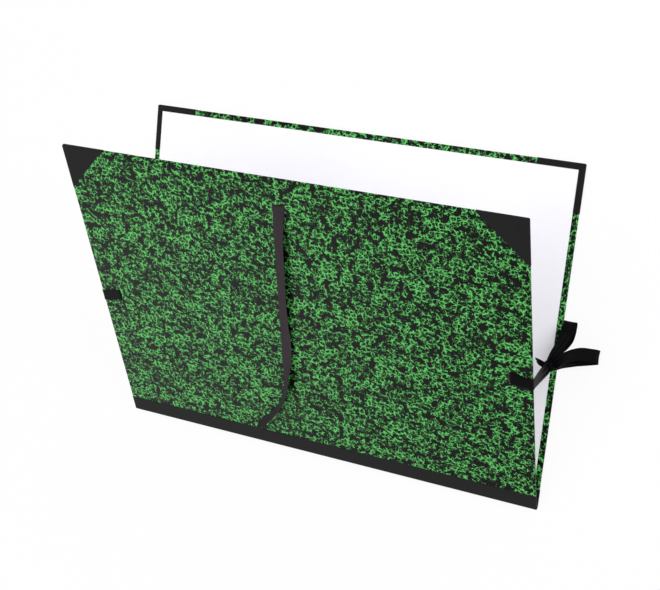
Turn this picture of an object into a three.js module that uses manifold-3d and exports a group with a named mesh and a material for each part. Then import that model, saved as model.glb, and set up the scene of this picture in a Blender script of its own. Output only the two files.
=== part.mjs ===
// Art portfolio folder: two greyboard covers in marbled paper, joined by a black cloth spine,
// with cloth corners, white linings and six satin ribbons. The back cover lies flat and the
// front cover stands open above it, held by the ribbons that are tied in a bow at the right.
//
// Millimetres, +Z up. X runs along the spine, +Y from the spine to the fore-edge. The origin is
// under the middle of the folder's footprint, on the surface that it lies on.
import * as THREE from "three";
import { mergeVertices } from "three/addons/utils/BufferGeometryUtils.js";
import Module from "manifold-3d";

const wasm = await Module();
wasm.setup();

// Covers
const COVER_WIDTH = 450; // along the spine, over the cloth corners
const COVER_DEPTH = 320; // from the spine edge of the board to the fore-edge
const BOARD_THICKNESS = 1.8;
const CLOTH_THICKNESS = 0.45;
const PAPER_THICKNESS = 0.15;
const LINING_THICKNESS = 0.2;
const GLUE_GAP = 0.05; // between two glued layers
const LINING_MARGIN = 6; // turned-in paper that shows around the lining
const CORNER_LEG = 45; // each straight side of a cloth corner

// Spine and hinge
const SPINE_BAND = 15; // cloth on each cover's outer face
const INNER_BAND = 12; // cloth strip on each cover's inner face
const CLOSED_GAP = 1.0; // between the linings when the folder is shut
const HINGE_OVERHANG = 1.0; // the hinge line's distance out from the boards' spine edges
const OPENING_ANGLE = THREE.MathUtils.degToRad(27.4);
const ARC_STEPS = 14;

// Ribbons and their slots
const RIBBON_WIDTH = 12;
const RIBBON_THICKNESS = 0.25;
const SLOT_LENGTH = 13.2;
const SLOT_WIDTH = 2.4;
const SIDE_SLOT_INSET = 21.5; // from the left and right edges
const SIDE_SLOT_HEIGHT = 153.5; // from the spine edge
const TOP_SLOT_INSET = 28; // from the fore-edge
const TOP_SLOT_X = -2.4;
const RIBBON_STEPS = 4; // sections between two points of a route

// The bow: a band of ribbon knotted around a core
const KNOT = [226.5, 142, 38]; // middle, counted from the back cover's spine edge
const KNOT_BAND = { wide: 9, high: 7.4, long: 6.4, wall: 1.3 };
const KNOT_CORE_LENGTH = 9.4;
const KNOT_CLEARANCE = 0.3;

// Heights in a cover's own frame: 0 is the cloth's outer face, and the inner face is above it
const halfWidth = COVER_WIDTH / 2;
const boardLow = CLOTH_THICKNESS + GLUE_GAP;
const boardHigh = boardLow + BOARD_THICKNESS;
const turnInLow = boardHigh + GLUE_GAP;
const innerFace = turnInLow + LINING_THICKNESS;
const boardHalf = halfWidth - CLOTH_THICKNESS - GLUE_GAP;
const boardEnd = COVER_DEPTH - CLOTH_THICKNESS - GLUE_GAP;
const paperOut = GLUE_GAP + PAPER_THICKNESS; // the paper's outer face beyond the board's edges
const liningHalf = halfWidth - LINING_MARGIN;
const liningEnd = COVER_DEPTH - LINING_MARGIN;
const hingeHeight = innerFace + CLOSED_GAP / 2;
const FAR = 2 * (COVER_WIDTH + COVER_DEPTH); // reach of a cutting block past the part

const materials = {
  board: { color: 0x8c8578, roughness: 0.9 },
  marbled: { color: 0x2e7d3e, roughness: 0.45 },
  cloth: { color: 0x17181a, roughness: 0.75 },
  lining: { color: 0xeceaf0, roughness: 0.85 },
  ribbon: { color: 0x0c0c0d, roughness: 0.35 },
};

// Joins and cuts work on closed meshes that share their corner points.
function toSolid(geometry) {
  const bare = new THREE.BufferGeometry();
  bare.setAttribute("position", geometry.getAttribute("position"));
  if (geometry.index) bare.setIndex(geometry.index);
  const merged = mergeVertices(bare, 1e-5);
  return new wasm.Manifold(
    new wasm.Mesh({
      numProp: 3,
      vertProperties: new Float32Array(merged.attributes.position.array),
      triVerts: new Uint32Array(merged.index.array),
    }),
  );
}

function toGeometry(solid) {
  const mesh = solid.getMesh();
  const geometry = new THREE.BufferGeometry();
  geometry.setAttribute("position", new THREE.BufferAttribute(mesh.vertProperties, 3));
  geometry.setIndex(new THREE.BufferAttribute(mesh.triVerts, 1));
  geometry.computeVertexNormals();
  return geometry;
}

function joined(solids) {
  return solids.reduce((whole, solid) => whole.add(solid));
}

function block(low, high) {
  const size = high.map((value, i) => value - low[i]);
  const box = new THREE.BoxGeometry(...size);
  box.translate(...low.map((value, i) => value + size[i] / 2));
  return toSolid(box);
}

function prism(outline, low, high) {
  const shape = new THREE.Shape(outline.map(([x, y]) => new THREE.Vector2(x, y)));
  const body = new THREE.ExtrudeGeometry(shape, { depth: high - low, bevelEnabled: false });
  body.translate(0, 0, low);
  return toSolid(body);
}

// The room that the board takes inside its wrapping, and the window that the lining fills.
function boardPocket() {
  const half = boardHalf + GLUE_GAP;
  return block([-half, -FAR, CLOTH_THICKNESS], [half, boardEnd + GLUE_GAP, turnInLow]);
}

function liningWindow() {
  const half = liningHalf + GLUE_GAP;
  return block([-half, -FAR, boardHigh], [half, liningEnd + GLUE_GAP, FAR]);
}

// Three slots let the ribbons out. flip is -1 on the front cover, which lies face up, so that
// its off-centre top slot meets the back cover's when the folder is shut.
function slots(flip) {
  const sideX = halfWidth - SIDE_SLOT_INSET;
  const places = [
    { x: -sideX, y: SIDE_SLOT_HEIGHT, along: [SLOT_WIDTH, SLOT_LENGTH] },
    { x: sideX, y: SIDE_SLOT_HEIGHT, along: [SLOT_WIDTH, SLOT_LENGTH] },
    { x: flip * TOP_SLOT_X, y: COVER_DEPTH - TOP_SLOT_INSET, along: [SLOT_LENGTH, SLOT_WIDTH] },
  ];
  return joined(
    places.map(({ x, y, along: [wide, deep] }) =>
      block([x - wide / 2, y - deep / 2, 0], [x + wide / 2, y + deep / 2, turnInLow])),
  );
}

function boardSolid(flip) {
  return block([-boardHalf, 0, boardLow], [boardHalf, boardEnd, boardHigh]).subtract(slots(flip));
}

// Marbled paper: one sheet on the outer face, folded over three edges. It stops short of the
// cloth corners and of the spine band.
function coverPaper(flip) {
  const side = boardHalf + paperOut;
  const fore = boardEnd + paperOut;
  const diagonal = halfWidth + COVER_DEPTH - CORNER_LEG - GLUE_GAP * Math.SQRT2;
  const foot = SPINE_BAND + GLUE_GAP;
  const outline = [
    [-side, foot], [side, foot], [side, diagonal - side],
    [diagonal - fore, fore], [fore - diagonal, fore], [-side, diagonal - side],
  ];
  return prism(outline, CLOTH_THICKNESS - PAPER_THICKNESS, turnInLow + PAPER_THICKNESS)
    .subtract(boardPocket())
    .subtract(liningWindow())
    .subtract(slots(flip));
}

// A cloth corner: a triangle on the outer face, folded over two edges. side is 1 or -1.
function cornerCloth(side) {
  const tip = [side * halfWidth, COVER_DEPTH];
  const outline = [tip, [side * (halfWidth - CORNER_LEG), tip[1]], [tip[0], tip[1] - CORNER_LEG]];
  return prism(outline, 0, turnInLow + CLOTH_THICKNESS)
    .subtract(boardPocket())
    .subtract(liningWindow());
}

function liningSheet() {
  return block([-liningHalf, INNER_BAND + GLUE_GAP, turnInLow], [liningHalf, liningEnd, innerFace]);
}

// Turns a point or a solid of the shut folder about the hinge line, as the front cover opens.
const opening = new THREE.Matrix4()
  .makeTranslation(0, -HINGE_OVERHANG, hingeHeight)
  .multiply(new THREE.Matrix4().makeRotationX(OPENING_ANGLE))
  .multiply(new THREE.Matrix4().makeTranslation(0, HINGE_OVERHANG, -hingeHeight));
// Lays a cover's own frame face up over the back cover.
const faceUp = new THREE.Matrix4()
  .makeTranslation(0, 0, 2 * hingeHeight)
  .multiply(new THREE.Matrix4().makeRotationY(Math.PI));

// A strip that runs from one cover to the other round the hinge line: an arm on the back cover,
// an arc and an arm on the front cover. outer is the arc's outer radius.
function hingeWrap(outer, thickness, reach, half) {
  const arm = reach + HINGE_OVERHANG;
  const sweep = OPENING_ANGLE - Math.PI; // clockwise, from straight down to the front cover
  const run = (radius) => {
    const points = [[arm, -radius]];
    for (let i = 0; i <= ARC_STEPS; i++) {
      const angle = -Math.PI / 2 + (sweep * i) / ARC_STEPS;
      points.push([radius * Math.cos(angle), radius * Math.sin(angle)]);
    }
    const [y, z] = points.at(-1);
    points.push([y + arm * Math.cos(OPENING_ANGLE), z + arm * Math.sin(OPENING_ANGLE)]);
    return points;
  };
  const section = [...run(outer), ...run(outer - thickness).reverse()];
  const shape = new THREE.Shape(section.map(([y, z]) => new THREE.Vector2(y, z)));
  const strip = new THREE.ExtrudeGeometry(shape, { depth: 2 * half, bevelEnabled: false });
  // the section's x and y become Y and Z, and its depth runs along X
  strip.applyMatrix4(new THREE.Matrix4().makeBasis(
    new THREE.Vector3(0, 1, 0), new THREE.Vector3(0, 0, 1), new THREE.Vector3(1, 0, 0)));
  strip.translate(-half, -HINGE_OVERHANG, hingeHeight);
  return toSolid(strip);
}

// The spine cloth's ends are folded over the boards' ends, as the cover paper is.
function bandEnds() {
  const band = block([-halfWidth, 0, CLOTH_THICKNESS / 2],
    [halfWidth, SPINE_BAND, turnInLow + CLOTH_THICKNESS]);
  const half = boardHalf + GLUE_GAP;
  return band
    .subtract(block([-half, -FAR, -FAR], [half, FAR, turnInLow]))
    .subtract(liningWindow());
}

function moved(solid, matrix) {
  const geometry = toGeometry(solid);
  geometry.applyMatrix4(matrix);
  return toSolid(geometry);
}

function spineCloth() {
  const openFront = opening.clone().multiply(faceUp);
  return joined([
    hingeWrap(hingeHeight, CLOTH_THICKNESS, SPINE_BAND, halfWidth),
    bandEnds(),
    moved(bandEnds(), openFront),
  ]);
}

function hingeStrip() {
  return hingeWrap(hingeHeight - turnInLow, LINING_THICKNESS, INNER_BAND, liningHalf);
}

// A flat ribbon along a route. Each point of a route is its place, the direction of the
// ribbon's width there and, where the ribbon is gathered, the share of its width that is left.
function ribbonSolid(route) {
  const places = route.map(([x, y, z]) => new THREE.Vector3(x, y, z));
  const widths = route.map(([, , , x, y, z, gathered = 1]) =>
    new THREE.Vector3(x, y, z).setLength(gathered * RIBBON_WIDTH));
  const centre = new THREE.CatmullRomCurve3(places, false, "centripetal");
  const spans = route.length - 1;
  const count = spans * RIBBON_STEPS;
  const corners = [];
  for (let i = 0; i <= count; i++) {
    const t = i / count;
    const span = Math.min(Math.floor(t * spans), spans - 1);
    const tangent = centre.getTangent(t);
    const share = t * spans - span;
    const width = THREE.MathUtils.lerp(widths[span].length(), widths[span + 1].length(), share);
    const wide = widths[span].clone().lerp(widths[span + 1], share);
    wide.addScaledVector(tangent, -wide.dot(tangent)).setLength(width / 2);
    const normal = tangent.clone().cross(wide).normalize().multiplyScalar(RIBBON_THICKNESS / 2);
    const middle = centre.getPoint(t);
    for (const [w, n] of [[-1, -1], [1, -1], [1, 1], [-1, 1]]) {
      corners.push(...middle.clone().addScaledVector(wide, w).addScaledVector(normal, n).toArray());
    }
  }
  const faces = [0, 2, 1, 0, 3, 2];
  for (let i = 0; i < count; i++) {
    for (let k = 0; k < 4; k++) {
      const a = 4 * i + k;
      const b = 4 * i + ((k + 1) % 4);
      // both broad faces are split along the same diagonal, so that they don't cross in a twist
      if (k === 2) faces.push(a, b, a + 4, b, b + 4, a + 4);
      else faces.push(a, b, b + 4, a, b + 4, a + 4);
    }
  }
  const end = 4 * count;
  faces.push(end, end + 1, end + 2, end, end + 2, end + 3);
  const geometry = new THREE.BufferGeometry();
  geometry.setAttribute("position", new THREE.BufferAttribute(new Float32Array(corners), 3));
  geometry.setIndex(faces);
  return toSolid(geometry);
}

// A route on the front cover is [x, from the spine edge, above the cloth's outer face], as on
// the shut folder, and turns with the cover.
function overFront(route) {
  const turn = new THREE.Matrix4().extractRotation(opening);
  return route.map(([x, y, lift, ...wide]) => [
    ...new THREE.Vector3(x, y, 2 * hingeHeight + lift).applyMatrix4(opening).toArray(),
    ...new THREE.Vector3(...wide).applyMatrix4(turn).toArray(),
  ]);
}

// Ribbon routes: x, y, z, the width's direction and the share left. y counts from the spine edge.
const frontTopRoute = overFront([
  [-2.4, 292.2, -1.9, 1, 0, 0], [-2.4, 292.2, -1.1, 1, 0, 0], [-2.4, 291.9, -0.45, 1, 0, 0],
  [-2.5, 291.2, -0.12, 1, 0, 0], [-2.8, 288, 0.1, 1, 0.05, 0], [-4.8, 276, 0.6, 1, 0.1, 0.1],
  [-8, 250, 0.9, 1, 0.1, 0.15], [-11.2, 220, 0.7, 1, 0.1, 0.1], [-14.6, 188, 0.5, 1, 0.1, 0.05],
  [-16.4, 163, 1.1, 1, 0.1, 0.15], [-18.2, 140, 2.3, 1, 0.1, 0.35], [-20.6, 118, 4.1, 1, 0.1, 0.8],
  [-23.2, 98, 5.6, 0.7, 0.1, 1], [-26.6, 80, 6.2, 0.3, 0.1, 1], [-34.6, 61, 6.3, 0.1, 0.05, 1],
  [-47, 43.5, 6.3, 0.06, 0.03, 1], [-60, 29, 6.3, 0.04, 0.06, 1], [-71, 18, 6.35, 0.02, 0.1, 1],
]);
const frontLeftRoute = [
  ...overFront([
    [-203.1, 153.5, -1.9, 0, 1, 0], [-203.1, 153.5, -1.1, 0, 1, 0], [-203.4, 153.5, -0.45, 0, 1, 0],
    [-204.1, 153.5, -0.12, 0, 1, 0], [-208, 153, -0.1, 0.1, 1, 0], [-216, 151, -0.1, 0.1, 1, 0],
    [-222.6, 149.5, -0.1, 0.1, 1, 0], [-224.65, 149.3, -0.1, 0, 1, 0],
    [-225, 149.3, -0.24, 0, 1, 0], [-225.15, 149.3, -0.9, 0, 1, 0],
  ]),
  [-225.2, 132.2, 70.5, 0, 1, 0.3], [-225.2, 132.4, 60, 0, 1, 0], [-224.8, 133.4, 45, 0, 1, 0],
  [-223.5, 135, 30, 0, 1, 0], [-220.5, 137, 16, 0, 1, 0], [-215, 138.6, 7, 0, 1, 0],
  [-206, 140.2, 3.6, 0, 1, 0], [-195, 141.6, 2.9, 0, 1, 0], [-175, 143, 2.8, 0, 1, 0],
  [-140, 144, 2.9, 0, 1, 0], [-105, 142.5, 2.8, 0, 1, 0], [-70, 140.5, 2.9, 0, 1, 0],
  [-38, 140, 2.8, 0, 1, 0],
];
const backLeftRoute = [
  [-203.1, 153.5, 1.9, 0, 1, 0], [-203.1, 153.5, 1.1, 0, 1, 0], [-203.4, 153.5, 0.48, 0, 1, 0],
  [-204.1, 153.5, 0.2, 0, 1, 0], [-208, 154, 0.15, 0, 1, 0], [-216, 156, 0.15, 0, 1, 0],
  [-222, 157, 0.15, 0, 1, 0], [-224.65, 157, 0.15, 0, 1, 0], [-225.02, 157, 0.28, 0, 1, 0],
  [-225.2, 157, 0.7, 0, 1, 0], [-225.2, 157, 2.2, 0, 1, 0], [-225, 157, 2.75, 0, 1, 0],
  [-224.4, 157, 2.97, 0, 1, 0], [-222.6, 157, 2.95, 0, 1, 0], [-218, 157.6, 2.8, 0, 1, 0],
  [-210, 159.8, 2.8, 0, 1, 0], [-185, 164, 2.8, 0, 1, 0], [-150, 166.5, 2.9, 0, 1, 0],
  [-110, 165.5, 2.8, 0, 1, 0], [-70, 163, 2.9, 0, 1, 0], [-30, 163.5, 2.8, 0, 1, 0],
  [10, 166.5, 2.9, 0, 1, 0], [42, 168, 2.8, 0, 1, 0],
];
const backTopRoute = [
  [-2.4, 292.2, 1.9, 1, 0, 0], [-2.4, 292.2, 1.1, 1, 0, 0], [-2.4, 291.9, 0.48, 1, 0, 0],
  [-2.4, 291.2, 0.2, 1, 0, 0], [-2.2, 285, 0.15, 1, 0, 0], [0, 262, 0.15, 1, 0, 0],
  [3.5, 225, 0.15, 1, 0, 0], [4.5, 185, 0.15, 1, 0, 0], [1, 145, 0.15, 1, 0, 0],
  [-4.5, 105, 0.15, 1, 0, 0], [-7, 65, 0.15, 1, 0, 0], [-5.5, 30, 0.15, 1, 0, 0],
  [-5, 18, 0.15, 1, 0, 0],
];
const frontRightStrap = [
  ...overFront([
    [203.1, 153.5, -1.9, 0, 1, 0], [203.1, 153.5, -1.1, 0, 1, 0], [203.4, 153.5, -0.45, 0, 1, 0],
    [204.1, 153.5, -0.12, 0, 1, 0], [212, 152.6, -0.1, 0, 1, 0], [222.6, 151, -0.1, 0, 1, 0],
    [224.65, 150.9, -0.1, 0, 1, 0], [225, 150.9, -0.24, 0, 1, 0], [225.15, 150.9, -0.9, 0, 1, 0],
  ]),
  [225.5, 134.2, 70, 0, 1, 0.2], [225.9, 136.4, 60, 0.2, 1, 0, 0.85], [226.3, 139, 50, 0.5, 1, 0, 0.7],
  [226.5, 141.2, 43.4, 1, 0.6, 0, 0.55], [226.5, 141.9, 41.2, 1, 0, 0, 0.5],
];
const frontLoop = [
  [226.5, 145.6, 39.4, 1, 0, 0, 0.45], [227.1, 149, 36.6, 1, 0, 0, 0.55], [228.4, 154.5, 28, 1, 0, 0, 0.75],
  [229.9, 161, 17, 1, 0, 0, 0.9], [231, 168.5, 10.5, 1, 0, 0], [231.5, 175, 6.8, 1, 0, 0],
  [231.6, 178.6, 3.9, 1, 0, 0], [231.6, 176.2, 1.3, 1, 0, 0], [231.3, 168, 0.9, 1, 0, 0],
  [230.6, 160.5, 2, 1, 0, 0, 0.9], [229.6, 155.8, 8, 1, 0, 0, 0.8], [228.5, 152.6, 18, 1, 0, 0, 0.7],
  [227.5, 150, 27, 1, 0, 0, 0.6], [226.8, 147.6, 34, 1, 0, 0, 0.5], [226.5, 145.6, 36.8, 1, 0, 0, 0.45],
];
const frontTail = [
  [228.3, 142, 34.8, 0, 1, 0, 0.5], [228.3, 141.6, 30, 0, 1, 0, 0.7], [228.6, 141, 24, 0, 1, 0, 0.8],
];
const backRightStrap = [
  [203.1, 153.5, 1.9, 0, 1, 0], [203.1, 153.5, 1.1, 0, 1, 0], [203.4, 153.5, 0.48, 0, 1, 0],
  [204.1, 153.5, 0.2, 0, 1, 0], [206.5, 153.4, 0.15, 0, 1, 0], [210.5, 152.2, 0.15, 0.3, 1, 0],
  [218, 148.8, 0.15, 0.4, 1, 0], [222.5, 147.2, 0.15, 0.2, 1, 0], [224.65, 147, 0.14, 0, 1, 0],
  [225.02, 147, 0.25, 0, 1, 0], [225.2, 147, 0.7, 0, 1, 0], [225.4, 146.9, 3.2, 0, 1, 0],
  [225.4, 145.6, 10, 0, 1, 0], [224.7, 144, 20, 0, 1, 0, 0.9],
  [223.2, 142.7, 30, 0, 1, 0, 0.7], [222, 142.1, 36, 0, 1, 0, 0.5], [222.8, 142, 38, 0, 1, 0, 0.45],
];
const backLoop = [
  [230.8, 142.2, 38.6, 0, 1, 0, 0.45], [234, 143.6, 37.4, 0, 1, 0, 0.6], [241, 147, 31, 0, 1, 0, 0.8],
  [250, 150.6, 20.5, 0, 1, 0], [258, 152.4, 12, 0, 1, 0], [263, 152.8, 7.4, 0, 1, 0],
  [264.8, 152.6, 4.2, 0, 1, 0], [262.8, 151.8, 1.4, 0, 1, 0], [254, 149.8, 0.9, 0, 1, 0],
  [246, 147.4, 4, 0, 1, 0], [239, 145, 13, 0, 1, 0, 0.85], [234.6, 143.4, 25, 0, 1, 0, 0.65],
  [232, 142.4, 33, 0, 1, 0, 0.5], [230.8, 142, 36.8, 0, 1, 0, 0.45],
];
const backTail = [
  [222.8, 141.6, 38.6, 0, 1, 0, 0.45], [219, 141, 36, 0, 1, 0, 0.6], [214.4, 140, 29, 0, 1, 0.1, 0.8],
  [211, 139, 20, 0, 1, 0.1, 0.9],
];

// The bow at the right is two loops tied together: the front ribbon's band goes round the back
// ribbon's core.
function aroundKnot(wide, high, long) {
  const half = [long / 2, wide / 2, high / 2];
  return block(KNOT.map((value, i) => value - half[i]), KNOT.map((value, i) => value + half[i]));
}

function knotBand() {
  const { wide, high, long, wall } = KNOT_BAND;
  return aroundKnot(wide, high, long).subtract(aroundKnot(wide - 2 * wall, high - 2 * wall, 2 * long));
}

function knotCore() {
  const room = 2 * (KNOT_BAND.wall + KNOT_CLEARANCE);
  return aroundKnot(KNOT_BAND.wide - room, KNOT_BAND.high - room, KNOT_CORE_LENGTH);
}

function mesh(name, solid, material) {
  const body = new THREE.Mesh(toGeometry(solid), new THREE.MeshStandardMaterial(material));
  body.name = name;
  return body;
}

// One cover in its own frame, outer face down.
function cover(side, flip) {
  const group = new THREE.Group();
  const rightCorner = flip > 0 ? "right" : "left";
  const leftCorner = flip > 0 ? "left" : "right";
  group.add(
    mesh(`${side}_board`, boardSolid(flip), materials.board),
    mesh(`${side}_cover_paper`, coverPaper(flip), materials.marbled),
    mesh(`${side}_${rightCorner}_corner`, cornerCloth(1), materials.cloth),
    mesh(`${side}_${leftCorner}_corner`, cornerCloth(-1), materials.cloth),
    mesh(`${side}_lining`, liningSheet(), materials.lining),
  );
  return group;
}

const frontCover = cover("front", -1);
frontCover.applyMatrix4(opening.clone().multiply(faceUp));

const portfolio = new THREE.Group();
portfolio.add(
  cover("back", 1),
  frontCover,
  mesh("spine_cloth", spineCloth(), materials.cloth),
  mesh("hinge_strip", hingeStrip(), materials.cloth),
  mesh("front_top_ribbon", ribbonSolid(frontTopRoute), materials.ribbon),
  mesh("front_left_ribbon", ribbonSolid(frontLeftRoute), materials.ribbon),
  mesh("back_top_ribbon", ribbonSolid(backTopRoute), materials.ribbon),
  mesh("back_left_ribbon", ribbonSolid(backLeftRoute), materials.ribbon),
  mesh("front_right_ribbon",
    joined([knotBand(), ribbonSolid(frontRightStrap), ribbonSolid(frontLoop), ribbonSolid(frontTail)]),
    materials.ribbon),
  mesh("back_right_ribbon",
    joined([knotCore(), ribbonSolid(backRightStrap), ribbonSolid(backLoop), ribbonSolid(backTail)]),
    materials.ribbon),
);
// The footprint runs from the back of the spine to the back cover's fore-edge.
const spineReach = HINGE_OVERHANG + hingeHeight;
portfolio.position.y = -(COVER_DEPTH - spineReach) / 2;

export default portfolio;
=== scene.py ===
import bpy
import numpy as np
from mathutils import Matrix


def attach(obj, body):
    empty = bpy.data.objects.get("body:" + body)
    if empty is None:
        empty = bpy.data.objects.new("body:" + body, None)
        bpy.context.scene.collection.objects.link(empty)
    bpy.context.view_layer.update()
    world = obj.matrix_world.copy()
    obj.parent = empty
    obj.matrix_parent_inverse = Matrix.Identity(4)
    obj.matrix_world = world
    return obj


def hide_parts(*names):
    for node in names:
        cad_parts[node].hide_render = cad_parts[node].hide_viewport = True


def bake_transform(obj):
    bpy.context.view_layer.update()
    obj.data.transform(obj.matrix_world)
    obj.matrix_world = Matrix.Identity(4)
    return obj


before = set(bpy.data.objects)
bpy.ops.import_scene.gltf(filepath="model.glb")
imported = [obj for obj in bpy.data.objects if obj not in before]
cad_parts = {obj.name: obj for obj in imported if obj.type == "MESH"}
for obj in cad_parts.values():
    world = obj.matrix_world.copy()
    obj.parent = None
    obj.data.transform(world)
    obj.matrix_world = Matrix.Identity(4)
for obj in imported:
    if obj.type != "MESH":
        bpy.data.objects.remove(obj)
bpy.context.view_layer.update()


# Camera. It looks down on the folder lying on its back cover, from the front right, at the angle
# from which the folder was photographed. The image is 660 x 590 pixels.
IMAGE_WIDTH, IMAGE_HEIGHT = 660, 590
FOCAL_PIXELS = 1229.67
OPTICAL_CENTRE = (375.6, 315.5)
CAMERA_PLACE = (0.49738, 0.24003, 1.07110)
CAMERA_RIGHT = (0.904924, 0.106720, -0.411976)
CAMERA_DOWN = (0.182514, -0.971823, 0.149157)
CAMERA_FORWARD = (-0.384450, -0.210167, -0.898904)

lens = bpy.data.cameras.new("camera")
lens.sensor_width = 36
lens.lens = FOCAL_PIXELS / IMAGE_WIDTH * lens.sensor_width
lens.shift_x = (IMAGE_WIDTH / 2 - OPTICAL_CENTRE[0]) / IMAGE_WIDTH
lens.shift_y = (OPTICAL_CENTRE[1] - IMAGE_HEIGHT / 2) / IMAGE_WIDTH
camera = bpy.data.objects.new("camera", lens)
camera.matrix_world = Matrix([
    [CAMERA_RIGHT[axis], -CAMERA_DOWN[axis], -CAMERA_FORWARD[axis], CAMERA_PLACE[axis]]
    for axis in range(3)] + [[0, 0, 0, 1]])
bpy.context.scene.collection.objects.link(camera)
bpy.context.scene.camera = camera
bpy.context.scene.view_settings.view_transform = "Standard"


# Satin ribbons. Six black ribbons, 12 mm wide, come out of slots in the covers. The top one hangs
# down the front cover, the right pair is tied in a bow, and the others are tucked away.
MM = 0.001
RIBBON_WIDTH = 12.0
RIBBON_THICKNESS = 0.25
SHIFT_Y = -157.975        # from the board's spine edge to the middle of the footprint, in mm
HINGE_Y, HINGE_Z = -1.0, 3.05
OPENING = np.radians(27.4)
COVER_HEIGHT = 6.1        # both covers together when the folder is shut
POINTS_ACROSS = 25        # in a ribbon's section
CROWN_STARTS = 6          # sections from the slot to a ribbon's full crown
SATIN_SMOOTH = 60         # degrees: sharper edges of the satin stay crisp


def build_piece(name, corners, faces, uv=None, smooth_below=40):
    """A mesh object from corner points in metres and faces of 4 (or 3) corners. uv holds one place
    per corner point, in metres along the flat material. Edges sharper than smooth_below stay crisp."""
    mesh = bpy.data.meshes.new(name)
    mesh.from_pydata(corners.tolist(), [], faces.tolist() if hasattr(faces, "tolist") else faces)
    if uv is not None:
        layer = mesh.uv_layers.new(name="flat")
        loops = np.empty(len(mesh.loops), dtype=np.int64)
        mesh.loops.foreach_get("vertex_index", loops)
        layer.data.foreach_set("uv", uv[loops].astype(np.float32).ravel())
    mesh.shade_smooth()
    mesh.set_sharp_from_angle(angle=np.radians(smooth_below))
    mesh.update()
    piece = bpy.data.objects.new(name, mesh)
    bpy.context.scene.collection.objects.link(piece)
    return piece


def thick_sheet(middle, out, thickness, keep=None, uv=None):
    """Corners and faces of a closed sheet: the middle surface moved half a thickness along its
    outward normal, the same moved inwards, and walls along every free edge. middle and out are
    grids (rows, columns, 3) in mm, and keep says which cells of the grid have material."""
    rows, columns = middle.shape[:2]
    index = np.arange(rows * columns).reshape(rows, columns)
    cells = np.stack([index[:-1, :-1], index[:-1, 1:], index[1:, 1:], index[1:, :-1]], axis=-1)
    cells = cells[keep] if keep is not None else cells.reshape(-1, 4)
    flat, outward = middle.reshape(-1, 3), out.reshape(-1, 3)
    across = np.cross(flat[cells[:, 2]] - flat[cells[:, 0]], flat[cells[:, 3]] - flat[cells[:, 1]])
    turned = np.einsum("ij,ij->i", across, outward[cells].sum(axis=1)) < 0
    cells[turned] = cells[turned][:, ::-1]
    used = np.unique(cells)
    renumber = np.full(rows * columns, -1)
    renumber[used] = np.arange(len(used))
    cells = renumber[cells]
    count = len(used)
    edges = np.concatenate([cells[:, [k, (k + 1) % 4]] for k in range(4)])
    ways = set(map(tuple, edges.tolist()))
    free = np.array([edge for edge in edges.tolist() if (edge[1], edge[0]) not in ways])
    walls = np.stack([free[:, 1], free[:, 0], free[:, 0] + count, free[:, 1] + count], axis=1)
    half = outward[used] * thickness / 2
    corners = np.concatenate([flat[used] + half, flat[used] - half]) * MM
    faces = np.concatenate([cells, cells[:, ::-1] + count, walls])
    if uv is None:
        return corners, faces, None
    places = uv.reshape(-1, 2)[used] * MM
    return corners, faces, np.concatenate([places, places])


def smooth_route(points, steps):
    """Centripetal Catmull-Rom curve through the points, steps to a span: each span is a Hermite
    curve whose end slopes come from the square roots of the three distances around it."""
    ends = np.concatenate([[2 * points[0] - points[1]], points, [2 * points[-1] - points[-2]]])
    gaps = np.linalg.norm(np.diff(ends, axis=0), axis=1)[:, None] ** 0.5
    p0, p1, p2, p3 = ends[:-3], ends[1:-2], ends[2:-1], ends[3:]
    d0, d1, d2 = gaps[:-2], gaps[1:-1], gaps[2:]
    slope1 = ((p1 - p0) / d0 - (p2 - p0) / (d0 + d1) + (p2 - p1) / d1) * d1
    slope2 = ((p2 - p1) / d1 - (p3 - p1) / (d1 + d2) + (p3 - p2) / d2) * d1
    t = (np.arange(steps) / steps)[None, :, None]
    cubic = ((2 * t**3 - 3 * t**2 + 1) * p1[:, None] + (t**3 - 2 * t**2 + t) * slope1[:, None]
             + (3 * t**2 - 2 * t**3) * p2[:, None] + (t**3 - t**2) * slope2[:, None])
    return np.concatenate([cubic.reshape(-1, points.shape[1]), points[-1:]])


def distance_run(places):
    """How far along a line each of its places lies."""
    return np.concatenate([[0], np.cumsum(np.linalg.norm(np.diff(places, axis=0), axis=1))])


def plain(route):
    """The rows of a route as an array, with a full width where none is given."""
    return np.array([row if len(row) == 7 else [*row, 1] for row in route], dtype=float)


def over_front(route):
    """Turns places and width directions given as on the shut folder (x, from the spine edge, above
    the front cover's outer face) about the hinge line, to where the open cover holds them."""
    turned = plain(route)
    cos, sin = np.cos(OPENING), np.sin(OPENING)
    y, z = turned[:, 1] - HINGE_Y, turned[:, 2] + COVER_HEIGHT - HINGE_Z
    turned[:, 1], turned[:, 2] = HINGE_Y + y * cos - z * sin, HINGE_Z + y * sin + z * cos
    wy, wz = turned[:, 4].copy(), turned[:, 5].copy()
    turned[:, 4], turned[:, 5] = wy * cos - wz * sin, wy * sin + wz * cos
    return turned


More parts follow.
